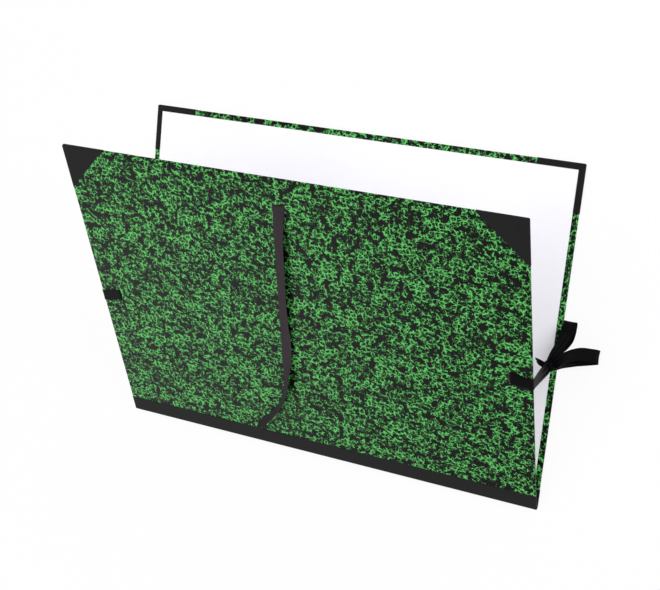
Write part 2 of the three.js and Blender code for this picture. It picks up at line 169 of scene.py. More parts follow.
def ribbon_mesh(route, steps=8, crown=0.18, pleats=2.5):
    """A flat woven ribbon along a route: at each place a strip of cross-section points, its middle
    raised a little (crown), and folded in pleats where it is gathered, so that a narrower strip
    keeps the ribbon's full width: depth = wave / 2 pi * sqrt(2 (1 / share^2 - 1))."""
    line = smooth_route(route[:, :3], steps)
    turns = np.linspace(0, len(route) - 1, len(line))
    span = np.arange(len(route))
    wide = np.stack([np.interp(turns, span, route[:, 3 + k]) for k in range(3)], axis=1)
    share = np.interp(turns, span, route[:, 6])[:, None]
    along = np.gradient(line, axis=0)
    along /= np.linalg.norm(along, axis=1, keepdims=True)
    wide -= along * np.einsum("ij,ij->i", wide, along)[:, None]
    wide /= np.linalg.norm(wide, axis=1, keepdims=True)
    up = np.cross(along, wide)
    across = np.linspace(-1, 1, POINTS_ACROSS)[None, :]
    wave = share * RIBBON_WIDTH / pleats
    depth = wave / (2 * np.pi) * np.sqrt(np.maximum(2 * (1 / share**2 - 1), 0))
    fade = np.clip(np.arange(len(line)) / CROWN_STARTS, 0, 1)[:, None]
    lift = crown * (0.5 - across**2) * fade + depth * np.cos(np.pi * pleats * across)
    middle = (line[:, None] + wide[:, None] * (across * share * RIBBON_WIDTH / 2)[..., None]
              + up[:, None] * lift[..., None])
    du, dv = np.gradient(middle, axis=0), np.gradient(middle, axis=1)
    out = np.cross(du, dv)
    out /= np.linalg.norm(out, axis=2, keepdims=True)
    uv = np.stack(np.broadcast_arrays(across * RIBBON_WIDTH / 2, distance_run(line)[:, None]), axis=-1)
    return thick_sheet(middle, out, RIBBON_THICKNESS, uv=uv)


def world_mm(route):
    """Places counted from the spine edge, moved to the middle of the footprint."""
    moved = route.copy()
    moved[:, 1] += SHIFT_Y
    return moved


def tie(name, *parts, crown=0.18):
    """One ribbon from its parts (strap, loop, tail), and the line that it follows in metres."""
    corners, faces, places, start, line, offset = [], [], [], 0, [], 0.0
    for part in parts:
        route = world_mm(part)
        points, quads, uv = ribbon_mesh(route, crown=crown)
        corners.append(points)
        faces.append(quads + start)
        places.append(uv + [0, offset])
        offset = uv[:, 1].max() + offset
        start += len(points)
        line.append(smooth_route(route[:, :3], 4) * MM)
    piece = build_piece(name.replace("ribbon", "satin"), np.concatenate(corners),
                        np.concatenate(faces), np.concatenate(places), SATIN_SMOOTH)
    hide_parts(name)
    line = np.concatenate(line)
    return piece, line, float(np.linalg.norm(np.diff(line, axis=0), axis=1).sum())


# Routes, in mm: x, y from the spine edge, z (over_front: above the front cover's outer face), the
# direction of the ribbon's width and, where the ribbon is gathered, the share of the width left.
front_top = over_front([
    [-2.4, 292.2, -1.9, 1, 0, 0], [-2.4, 292.2, -1.1, 1, 0, 0], [-2.4, 291.9, -0.45, 1, 0, 0],
    [-2.5, 291.2, -0.12, 1, 0, 0], [-2.8, 288, 0.1, 1, 0.05, 0], [-4.4, 276, 1.4, 1, 0.1, 0.22],
    [-7.2, 250, 2.6, 1, 0.1, 0.42], [-10.4, 220, 2.8, 1, 0.1, 0.45], [-13.6, 188, 2.8, 1, 0.1, 0.45],
    [-15.6, 163, 2.6, 1, 0.1, 0.4], [-17.6, 140, 1.9, 1, 0.1, 0.22], [-20.2, 118, 2.4, 1, 0.1, 0.25],
    [-23.2, 98, 4.4, 0.8, 0, 0.75], [-26.6, 80, 4.8, 0.6, -0.25, 0.75],
    [-34.6, 61, 5.6, 0.34, -0.24, 0.91],
    [-47, 43.5, 5.7, 0.3, -0.22, 0.93], [-58, 31.5, 5.7, 0.3, -0.22, 0.93],
    [-67, 23, 5.7, 0.3, -0.22, 0.93],
])
front_left = np.concatenate([over_front([
    [-203.1, 153.5, -1.9, 0, 1, 0], [-203.1, 153.5, -1.1, 0, 1, 0], [-203.4, 153.5, -0.45, 0, 1, 0],
    [-204.1, 153.5, -0.12, 0, 1, 0], [-208, 153, -0.1, 0.1, 1, 0], [-216, 151, -0.1, 0.1, 1, 0],
    [-222.6, 149.5, -0.1, 0.1, 1, 0], [-224.65, 149.3, -0.1, 0, 1, 0],
    [-225, 149.3, -0.24, 0, 1, 0], [-225.15, 149.3, -0.9, 0, 1, 0],
]), plain([
    [-225.2, 132.2, 70.5, 0, 1, 0.3], [-225.2, 132.4, 60, 0, 1, 0], [-224.8, 133.4, 45, 0, 1, 0],
    [-223.5, 135, 30, 0, 1, 0], [-220.5, 137, 16, 0, 1, 0], [-215, 138.6, 7, 0, 1, 0],
    [-206, 140.2, 3.6, 0, 1, 0], [-195, 141.6, 2.9, 0, 1, 0], [-175, 143, 2.8, 0, 1, 0],
    [-140, 144, 2.9, 0, 1, 0], [-105, 142.5, 2.8, 0, 1, 0], [-70, 140.5, 2.9, 0, 1, 0],
    [-38, 140, 2.8, 0, 1, 0],
])])
back_left = plain([
    [-203.1, 153.5, 1.9, 0, 1, 0], [-203.1, 153.5, 1.1, 0, 1, 0], [-203.4, 153.5, 0.48, 0, 1, 0],
    [-204.1, 153.5, 0.2, 0, 1, 0], [-208, 154, 0.15, 0, 1, 0], [-216, 156, 0.15, 0, 1, 0],
    [-222, 157, 0.15, 0, 1, 0], [-224.65, 157, 0.15, 0, 1, 0], [-225.02, 157, 0.28, 0, 1, 0],
    [-225.2, 157, 0.7, 0, 1, 0], [-225.2, 157, 2.2, 0, 1, 0], [-225, 157, 2.75, 0, 1, 0],
    [-224.4, 157, 2.97, 0, 1, 0], [-222.6, 157, 2.95, 0, 1, 0], [-218, 157.6, 2.8, 0, 1, 0],
    [-210, 159.8, 2.8, 0, 1, 0], [-185, 164, 2.8, 0, 1, 0], [-150, 166.5, 2.9, 0, 1, 0],
    [-110, 165.5, 2.8, 0, 1, 0], [-70, 163, 2.9, 0, 1, 0], [-30, 163.5, 2.8, 0, 1, 0],
    [10, 166.5, 2.9, 0, 1, 0], [42, 168, 2.8, 0, 1, 0],
])
back_top = plain([
    [-2.4, 292.2, 1.9, 1, 0, 0], [-2.4, 292.2, 1.1, 1, 0, 0], [-2.4, 291.9, 0.48, 1, 0, 0],
    [-2.4, 291.2, 0.2, 1, 0, 0], [-2.2, 285, 0.15, 1, 0, 0], [0, 262, 0.15, 1, 0, 0],
    [3.5, 225, 0.15, 1, 0, 0], [4.5, 185, 0.15, 1, 0, 0], [1, 145, 0.15, 1, 0, 0],
    [-4.5, 105, 0.15, 1, 0, 0], [-7, 65, 0.15, 1, 0, 0], [-5.5, 30, 0.15, 1, 0, 0],
    [-5, 18, 0.15, 1, 0, 0],
])
front_right_strap = np.concatenate([over_front([
    [203.1, 153.5, -1.9, 0, 1, 0], [203.1, 153.5, -1.1, 0, 1, 0], [203.4, 153.5, -0.45, 0, 1, 0],
    [204.1, 153.5, -0.12, 0, 1, 0], [212, 152.6, -0.1, 0, 1, 0], [222.6, 151, -0.1, 0, 1, 0],
    [224.65, 150.9, -0.1, 0, 1, 0], [225, 150.9, -0.24, 0, 1, 0], [225.15, 150.9, -0.9, 0, 1, 0],
]), plain([
    [225.5, 135, 70, 0, 1, 0.2], [226, 138, 60, -0.1, 1, 0], [226.6, 140.6, 50, -0.2, 1, 0, 0.95],
    [227.2, 142, 44.5, -0.3, 1, 0, 0.85], [227, 142.2, 41.6, -0.4, 1, 0, 0.7],
])])
front_loop = plain([
    [226.5, 145.6, 39.4, 1, 0, 0, 0.45], [227.1, 149, 36.6, 1, 0, 0, 0.55],
    [228.4, 154.5, 28, 1, 0, 0, 0.75],
    [229.9, 161, 17, 1, 0, 0, 0.9], [231, 168.5, 10.5, 1, 0, 0], [231.5, 175, 6.8, 1, 0, 0],
    [231.6, 178.6, 3.9, 1, 0, 0], [231.6, 176.2, 1.3, 1, 0, 0], [231.3, 168, 0.9, 1, 0, 0],
    [230.6, 160.5, 2, 1, 0, 0, 0.9], [229.6, 155.8, 8, 1, 0, 0, 0.8],
    [228.5, 152.6, 18, 1, 0, 0, 0.7], [227.5, 150, 27, 1, 0, 0, 0.6],
    [226.8, 147.6, 34, 1, 0, 0, 0.5], [226.5, 145.6, 36.8, 1, 0, 0, 0.45],
])
front_tail = plain([
    [228.3, 142, 34.8, 0, 1, 0, 0.5], [228.3, 141.6, 30, 0, 1, 0, 0.7], [228.6, 141, 24, 0, 1, 0, 0.8],
])
back_right_strap = plain([
    [203.1, 153.5, 1.9, 0, 1, 0], [203.1, 153.5, 1.1, 0, 1, 0], [203.4, 153.5, 0.48, 0, 1, 0],
    [204.1, 153.5, 0.2, 0, 1, 0], [206.5, 153.4, 0.15, 0, 1, 0], [210.5, 152.2, 0.15, 0.3, 1, 0],
    [218, 148.8, 0.15, 0.4, 1, 0], [222.5, 147.2, 0.15, 0.2, 1, 0], [224.65, 147, 0.14, 0, 1, 0],
    [225.02, 147, 0.25, 0, 1, 0], [225.2, 147, 0.7, 0, 1, 0], [225.4, 146.9, 3.2, 0, 1, 0],
    [225.4, 145.6, 10, 0, 1, 0], [224.7, 144, 20, 0, 1, 0, 0.9],
    [223.2, 142.7, 30, 0, 1, 0, 0.7], [222, 142.1, 36, 0, 1, 0, 0.5], [222.8, 142, 38, 0, 1, 0, 0.45],
    [226.5, 142, 38.6, 0, 1, 0, 0.42], [230.8, 142.2, 38.6, 0, 1, 0, 0.45],
])
back_loop = plain([
    [230.8, 142.8, 38.6, 0, 1, 0, 0.45], [234, 147.2, 38, 0, 1, 0, 0.68],
    [240, 152.6, 33.5, 0, 1, 0, 0.9], [248, 155, 23.6, 0, 1, 0],
    [255.5, 154, 14.5, 0, 1, 0], [260.4, 152.8, 8.6, 0, 1, 0],
    [261.8, 151.4, 4.8, 0, 1, 0], [260, 149.8, 1.8, 0, 1, 0], [252, 147.2, 0.9, 0, 1, 0],
    [245, 145.4, 3, 0, 1, 0], [239, 143.8, 10.5, 0, 1, 0, 0.85], [234.6, 142.8, 22, 0, 1, 0, 0.65],
    [232, 142, 33, 0, 1, 0, 0.5], [230.8, 142, 36.8, 0, 1, 0, 0.45],
])
back_tail = plain([
    [230.8, 142, 36.8, 0, 1, 0, 0.45], [226.5, 141.8, 37.4, 0, 1, 0, 0.42],
    [222.8, 142.6, 38.6, 0, 1, 0.2, 0.48], [220, 143.4, 38.6, 0, 0.9, 0.5, 0.6],
    [217, 144.2, 38, 0, 0.75, 0.7, 0.8], [214, 145, 37, 0, 0.65, 0.8, 0.97],
])

# Black satin: fine threads across the ribbon and an uneven gloss, both too fine to see from afar.
# Its reflections are weak, so that it stays near black under the white surround.


def new_material(name):
    """A new material with nodes, and its shader."""
    material = bpy.data.materials.new(name)
    material.use_nodes = True
    return material, material.node_tree.nodes["Principled BSDF"]


def add_node(material, kind, **values):
    """A shader node with the given properties and, for plain numbers or colours, input values."""
    node = material.node_tree.nodes.new(kind)
    for key, value in values.items():
        if hasattr(node, key):
            setattr(node, key, value)
        else:
            node.inputs[key.replace("_", " ")].default_value = value
    return node


def link(material, source, target):
    material.node_tree.links.new(source, target)


def paint(piece, material):
    piece.data.materials.clear()
    piece.data.materials.append(material)


satin, shader = new_material("black_satin")
shader.inputs["Base Color"].default_value = (0.0030, 0.0026, 0.0031, 1)
shader.inputs["Specular IOR Level"].default_value = 0.025
shader.inputs["Anisotropic"].default_value = 0.4
shader.inputs["Sheen Weight"].default_value = 0.006
shader.inputs["Sheen Roughness"].default_value = 0.4
flat_place = add_node(satin, "ShaderNodeUVMap", uv_map="flat")
threads = add_node(satin, "ShaderNodeTexWave", wave_type="BANDS", bands_direction="Y",
                   Scale=900.0, Distortion=0.6, Detail=1.0)
grain = add_node(satin, "ShaderNodeTexNoise", Scale=600.0, Detail=3.0)
weave = add_node(satin, "ShaderNodeMath", operation="ADD")
weave_bump = add_node(satin, "ShaderNodeBump", Strength=0.12, Distance=0.00006)
link(satin, flat_place.outputs["UV"], threads.inputs["Vector"])
link(satin, flat_place.outputs["UV"], grain.inputs["Vector"])
link(satin, threads.outputs["Fac"], weave.inputs[0])
link(satin, grain.outputs["Fac"], weave.inputs[1])
link(satin, weave.outputs["Value"], weave_bump.inputs["Height"])
link(satin, weave_bump.outputs["Normal"], shader.inputs["Normal"])
gloss = add_node(satin, "ShaderNodeMapRange", To_Min=0.30, To_Max=0.44)
link(satin, grain.outputs["Fac"], gloss.inputs["Value"])
link(satin, gloss.outputs["Result"], shader.inputs["Roughness"])

# painted light: the ribbon that hangs on the cover gets the same satin in a warmer and paler black,
# which stands in for the light it catches
lit_satin_copy = satin.copy()
lit_satin_copy.name = "black_satin_painted_lit"
lit_satin_shader = lit_satin_copy.node_tree.nodes["Principled BSDF"]
lit_satin_shader.inputs["Base Color"].default_value = (0.036, 0.027, 0.034, 1)

# crown: how far a ribbon's middle is raised, in mm; those that lie pressed flat have none
for name, route, crown, cloth, cover in (
        ("front_top_ribbon", front_top, 0.18, lit_satin_copy, "front_cover"),
        ("back_top_ribbon", back_top, 0.0, satin, "back_cover"),
        ("back_left_ribbon", back_left, 0.0, satin, "back_cover")):
    ribbon, line, length = tie(name, route, crown=crown)
    paint(ribbon, cloth)
    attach(ribbon, cover)

front_left_ribbon, line, length = tie("front_left_ribbon", front_left, crown=0.1)
paint(front_left_ribbon, satin)
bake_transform(front_left_ribbon)


# The bow's knot. The front ribbon goes once round the gathered back ribbon and pulls it in: a
# band of three folds round a core, both black satin.
KNOT = np.array([226.5, 142 + SHIFT_Y, 38])
KNOT_WIDE, KNOT_HIGH, KNOT_LONG, KNOT_WALL = 9.0, 7.4, 6.4, 1.3


def closed_tube(rings):
    """Faces of a closed ring from a grid of points (rings, around, 3) that joins up both ways."""
    count, around = rings.shape[:2]
    index = np.arange(count * around).reshape(count, around)
    ahead, beside = np.roll(index, -1, axis=0), np.roll(index, -1, axis=1)
    return np.stack([index, beside, np.roll(ahead, -1, axis=1), ahead], axis=-1).reshape(-1, 4)


def volume_of(corners, faces):
    """Volume inside a closed mesh, negative where it is inside out: the sum over its triangles of
    corner . (corner x corner) / 6."""
    triangles = np.concatenate([faces[:, [0, 1, 2]], faces[:, [0, 2, 3]]])
    a, b, c = (corners[triangles[:, k]] for k in range(3))
    return np.einsum("ij,ij->i", a, np.cross(b, c)).sum() / 6


def squared_off(value, power):
    """A sine or cosine with its sign kept and its size raised to a power: under 1, a circle drawn
    with it becomes a square with round corners."""
    return np.sign(value) * np.abs(value) ** power


# turn goes round the knot and girth round the band's own section; three folds wave its wall
turn = np.linspace(0, 2 * np.pi, 48, endpoint=False)[:, None]
girth = np.linspace(0, 2 * np.pi, 32, endpoint=False)[None, :]
band_x = squared_off(np.cos(girth), 0.6) * KNOT_LONG / 2 * (1 + 0.05 * np.sin(2 * turn + 0.6))
folds = 1 + 0.22 * np.cos(2.6 * np.pi * np.cos(girth))
wall = squared_off(np.sin(girth), 0.7) * KNOT_WALL / 2 * folds
reach_y, reach_z = (KNOT_WIDE - KNOT_WALL) / 2 + wall, (KNOT_HIGH - KNOT_WALL) / 2 + wall
band = np.stack(np.broadcast_arrays(
    KNOT[0] + band_x + 0 * turn, KNOT[1] + reach_y * squared_off(np.cos(turn), 0.8),
    KNOT[2] + reach_z * squared_off(np.sin(turn), 0.8)), axis=-1)
band_corners, band_faces = band.reshape(-1, 3) * MM, closed_tube(band)
if volume_of(band_corners, band_faces) < 0:
    band_faces = band_faces[:, ::-1]
band_uv = np.stack(np.broadcast_arrays(band_x + 0 * turn, turn * 4 + 0 * girth), axis=-1)
band_uv = band_uv.reshape(-1, 2) * MM
bow_band = build_piece("bow_band", band_corners, band_faces, band_uv, SATIN_SMOOTH)

# The core is gathered ribbon: its half width goes with sqrt(1 - |end| ^ 3), with end from -1 to 1
# along it, and it has six small ridges.
CORE_LONG, CORE_WIDE, CORE_HIGH = 9.4, 5.8, 4.2
ends = np.linspace(-1, 1, 21)[:, None]
swell = np.sqrt(np.clip(1 - np.abs(ends) ** 3, 0, 1)) * 0.98 + 0.02
ripple = 1 + 0.05 * np.cos(6 * girth)
core = np.stack(np.broadcast_arrays(
    KNOT[0] + ends * CORE_LONG / 2 + 0 * girth,
    KNOT[1] + CORE_WIDE / 2 * swell * ripple * np.cos(girth),
    KNOT[2] + CORE_HIGH / 2 * swell * ripple * np.sin(girth)), axis=-1)
core_corners = core.reshape(-1, 3) * MM
core_index = np.arange(core.shape[0] * core.shape[1]).reshape(core.shape[:2])
core_sides = np.stack([core_index[:-1], np.roll(core_index, -1, axis=1)[:-1],
                       np.roll(core_index, -1, axis=1)[1:], core_index[1:]], axis=-1).reshape(-1, 4)
if volume_of(core_corners, core_sides) < 0:
    core_sides = core_sides[:, ::-1]
    core_caps = [core_index[0].tolist(), core_index[-1][::-1].tolist()]
else:
    core_caps = [core_index[0][::-1].tolist(), core_index[-1].tolist()]
core_uv = np.stack(np.broadcast_arrays(girth * 2 + 0 * ends, ends * CORE_LONG + 0 * girth), axis=-1)
core_uv = core_uv.reshape(-1, 2) * MM
bow_core = build_piece("bow_core", core_corners, core_sides.tolist() + core_caps, core_uv,
                       SATIN_SMOOTH)

for side, strap, loop, tail, knot_piece in (
        ("front", front_right_strap, front_loop, front_tail, bow_band),
        ("back", back_right_strap, back_loop, back_tail, bow_core)):
    name = f"{side}_right_ribbon"
    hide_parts(name)
    ribbon, line, length = tie(name, strap, loop, tail)
    for piece in (knot_piece, ribbon):
        paint(piece, satin)
        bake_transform(piece)


# Greyboard. Each cover is one sheet of 1.8 mm greyboard. It shows only in the slots.
greyboard, shader = new_material("greyboard")
shader.inputs["Roughness"].default_value = 0.9
place = add_node(greyboard, "ShaderNodeTexCoord")
fibres = add_node(greyboard, "ShaderNodeTexNoise", Scale=900.0, Detail=5.0)
tone = add_node(greyboard, "ShaderNodeValToRGB")
tone.color_ramp.elements[0].color = (0.25, 0.23, 0.20, 1)
tone.color_ramp.elements[1].color = (0.42, 0.39, 0.34, 1)
board_bump = add_node(greyboard, "ShaderNodeBump", Strength=0.3, Distance=0.0001)
link(greyboard, place.outputs["Object"], fibres.inputs["Vector"])
link(greyboard, fibres.outputs["Fac"], tone.inputs["Fac"])
link(greyboard, tone.outputs["Color"], shader.inputs["Base Color"])
link(greyboard, fibres.outputs["Fac"], board_bump.inputs["Height"])
link(greyboard, board_bump.outputs["Normal"], shader.inputs["Normal"])
for name in ("back_board", "front_board"):
    paint(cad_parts[name], greyboard)


# Marbled paper. One printed, lightly varnished sheet to a cover: bright green veins over black.
# It is glued on and folded over three edges, and stops short of the spine band and corners.
COVER_WIDTH, COVER_DEPTH, CORNER_LEG, SPINE_BAND = 450.0, 320.0, 45.0, 15.0
BOARD_EDGE, BOARD_END = 224.5, 319.5
CLOTH, PAPER, GLUE = 0.45, 0.15, 0.05
TURN_IN = 2.35            # height of a turned-in sheet's lower face in the cover's own frame
LINING_EDGE, LINING_END = 219.0, 314.0
SLOT_LONG, SLOT_WIDE = 13.2, 2.4
PAPER_FOLD = 0.4          # radius of the paper's folds
LAST_FULL_ROW = 274.0     # the rows of the paper's grid above it narrow beside the cloth corners
PATTERN_SHIFT = 400       # mm of pattern between the covers, so that they don't look the same
SIDE_SLOT = (203.5, 153.5)
TOP_SLOT = (-2.4, 292.0)
COVERS = {"back": 1, "front": -1}


def in_place(side, points, places=True):
    """From a cover's own frame (outer face down, spine edge at y 0) to where the cover is. The
    front one is turned face up over the back one, then about the hinge line. Directions move the
    same way without the shift."""
    moved = points.astype(float).copy()
    if side == "front":
        moved[..., 0] *= -1
        moved[..., 2] = (COVER_HEIGHT if places else 0) - moved[..., 2]
        y = moved[..., 1] - (HINGE_Y if places else 0)
        z = moved[..., 2] - (HINGE_Z if places else 0)
        cos, sin = np.cos(OPENING), np.sin(OPENING)
        moved[..., 1] = (HINGE_Y if places else 0) + y * cos - z * sin
        moved[..., 2] = (HINGE_Z if places else 0) + y * sin + z * cos
    if places:
        moved[..., 1] += SHIFT_Y
    return moved


def folded_edge(flat_from, edge, low, high, inner, radius, steps=5):
    """Section of a sheet folded round a board's edge, at the sheet's middle: flat at height low,
    a quarter circle, straight up, a quarter circle, and flat back to inner at height high.
    Returns places (across, height), outward normals and the distance run along the sheet."""
    a = np.linspace(0, np.pi / 2, steps)
    lower = np.c_[edge - radius + radius * np.sin(a), low + radius - radius * np.cos(a)]
    upper = np.c_[edge - radius + radius * np.cos(a), high - radius + radius * np.sin(a)]
    places = np.concatenate([[[x, low] for x in flat_from], lower, upper, [[inner, high]]])
    normals = np.concatenate([[[0, -1]] * len(flat_from), np.c_[np.sin(a), -np.cos(a)],
                              np.c_[np.cos(a), np.sin(a)], [[0, 1]]])
    return places, normals, flat_from[0] + distance_run(places)


def two_sided(half):
    """Mirrors a folded edge's section to the left, so that the columns run from edge to edge."""
    places, normals, run = half
    return (np.concatenate([places[::-1] * [-1, 1], places]),
            np.concatenate([normals[::-1] * [-1, 1], normals]),
            np.concatenate([-run[::-1], run]))


def cover_grid(columns, rows):
    """Grid over a cover from a section across it (x, height) and one up it (y, height): where the
    sheet is flat the heights agree, and where one section folds the other is flat."""
    (cx, cn, cu), (ry, rn, rv) = columns, rows
    low = cx[:, 1].min()
    x = np.broadcast_to(cx[None, :, 0], (len(ry), len(cx)))
    y = np.broadcast_to(ry[:, None, 0], (len(ry), len(cx)))
    z = cx[None, :, 1] + ry[:, None, 1] - low
    nx, ny = cn[None, :, 0] + 0 * rn[:, :1], rn[:, None, 0] + 0 * cn[None, :, 0]
    nz = np.where(np.abs(cn[None, :, 0]) + (cx[None, :, 1] > low) > 0, cn[None, :, 1], rn[:, None, 1])
    nz = np.broadcast_to(nz, x.shape)
    middle, out = np.stack([x, y, z], axis=-1), np.stack([nx, ny, nz], axis=-1)
    uv = np.stack(np.broadcast_arrays(cu[None, :], rv[:, None]), axis=-1).astype(float)
    return middle, out / np.linalg.norm(out, axis=-1, keepdims=True), uv


marbled, shader = new_material("marbled_paper")
shader.inputs["Specular IOR Level"].default_value = 0.08
sheet_place = add_node(marbled, "ShaderNodeUVMap", uv_map="flat")
wander = add_node(marbled, "ShaderNodeTexNoise", Scale=190.0, Detail=3.0, Roughness=0.6)
wander_shift = add_node(marbled, "ShaderNodeVectorMath", operation="SUBTRACT")
wander_shift.inputs[1].default_value = (0.5, 0.5, 0.5)
wander_scale = add_node(marbled, "ShaderNodeVectorMath", operation="SCALE")
wander_scale.inputs["Scale"].default_value = 0.0050
wandered = add_node(marbled, "ShaderNodeVectorMath", operation="ADD")
link(marbled, sheet_place.outputs["UV"], wander.inputs["Vector"])
link(marbled, wander.outputs["Color"], wander_shift.inputs[0])
link(marbled, wander_shift.outputs["Vector"], wander_scale.inputs[0])
link(marbled, sheet_place.outputs["UV"], wandered.inputs[0])
link(marbled, wander_scale.outputs["Vector"], wandered.inputs[1])
# the veins swell and thin: their width comes from a slow and a quick noise
swelling = add_node(marbled, "ShaderNodeTexNoise", Scale=260.0, Detail=2.0)
drift = add_node(marbled, "ShaderNodeTexNoise", Scale=42.0, Detail=2.0, Roughness=0.65)
link(marbled, sheet_place.outputs["UV"], swelling.inputs["Vector"])
link(marbled, sheet_place.outputs["UV"], drift.inputs["Vector"])
quick_width = add_node(marbled, "ShaderNodeMapRange",
                       From_Min=0.38, From_Max=0.66, To_Min=0.01, To_Max=0.16)
slow_width = add_node(marbled, "ShaderNodeMapRange",
                      From_Min=0.36, From_Max=0.6, To_Min=-0.05, To_Max=0.025)
vein_width = add_node(marbled, "ShaderNodeMath", operation="ADD")
fine_width = add_node(marbled, "ShaderNodeMath", operation="MULTIPLY")
fine_width.inputs[1].default_value = 0.7
link(marbled, swelling.outputs["Fac"], quick_width.inputs["Value"])
link(marbled, drift.outputs["Fac"], slow_width.inputs["Value"])
link(marbled, quick_width.outputs["Result"], vein_width.inputs[0])
link(marbled, slow_width.outputs["Result"], vein_width.inputs[1])
link(marbled, vein_width.outputs["Value"], fine_width.inputs[0])


def veins_between_cells(scale, width, strength):
    """Veins between cells of about 1 / scale metres: strength where a cell's edge is nearer than
    the width, and 0 past a soft border."""
    cells = add_node(marbled, "ShaderNodeTexVoronoi", voronoi_dimensions="2D",
                     feature="DISTANCE_TO_EDGE", Scale=scale)
    inside = add_node(marbled, "ShaderNodeMath", operation="SUBTRACT")
    vein = add_node(marbled, "ShaderNodeMapRange", From_Min=-0.025, From_Max=0.03,
                    To_Max=strength, interpolation_type="SMOOTHSTEP")
    link(marbled, wandered.outputs["Vector"], cells.inputs["Vector"])
    link(marbled, width.outputs["Value"], inside.inputs[0])
    link(marbled, cells.outputs["Distance"], inside.inputs[1])
    link(marbled, inside.outputs["Value"], vein.inputs["Value"])
    return vein.outputs["Result"]


veins = add_node(marbled, "ShaderNodeMath", operation="MAXIMUM")
link(marbled, veins_between_cells(215.0, vein_width, 1.0), veins.inputs[0])
link(marbled, veins_between_cells(330.0, fine_width, 0.7), veins.inputs[1])
ink = add_node(marbled, "ShaderNodeMix", data_type="RGBA")
ink.inputs["A"].default_value = (0.0022, 0.0020, 0.0022, 1)
ink.inputs["B"].default_value = (0.125, 0.570, 0.133, 1)
# pools of black where the ink ran together: the veins stop at the edge of a coarser noise
pools = add_node(marbled, "ShaderNodeTexNoise", Scale=135.0, Detail=2.5, Roughness=0.6)
open_ground = add_node(marbled, "ShaderNodeMapRange", From_Min=0.435, From_Max=0.48,
                       interpolation_type="SMOOTHSTEP")
kept_veins = add_node(marbled, "ShaderNodeMath", operation="MULTIPLY")
link(marbled, wandered.outputs["Vector"], pools.inputs["Vector"])
link(marbled, pools.outputs["Fac"], open_ground.inputs["Value"])
link(marbled, veins.outputs["Value"], kept_veins.inputs[0])
link(marbled, open_ground.outputs["Result"], kept_veins.inputs[1])
link(marbled, kept_veins.outputs["Value"], ink.inputs["Factor"])
link(marbled, ink.outputs["Result"], shader.inputs["Base Color"])
pulp = add_node(marbled, "ShaderNodeTexNoise", Scale=900.0, Detail=3.0)
paper_bump = add_node(marbled, "ShaderNodeBump", Strength=0.08, Distance=0.00005)
link(marbled, sheet_place.outputs["UV"], pulp.inputs["Vector"])
link(marbled, pulp.outputs["Fac"], paper_bump.inputs["Height"])
link(marbled, paper_bump.outputs["Normal"], shader.inputs["Normal"])
varnish = add_node(marbled, "ShaderNodeMapRange", To_Min=0.36, To_Max=0.5)
link(marbled, pulp.outputs["Fac"], varnish.inputs["Value"])
link(marbled, varnish.outputs["Result"], shader.inputs["Roughness"])

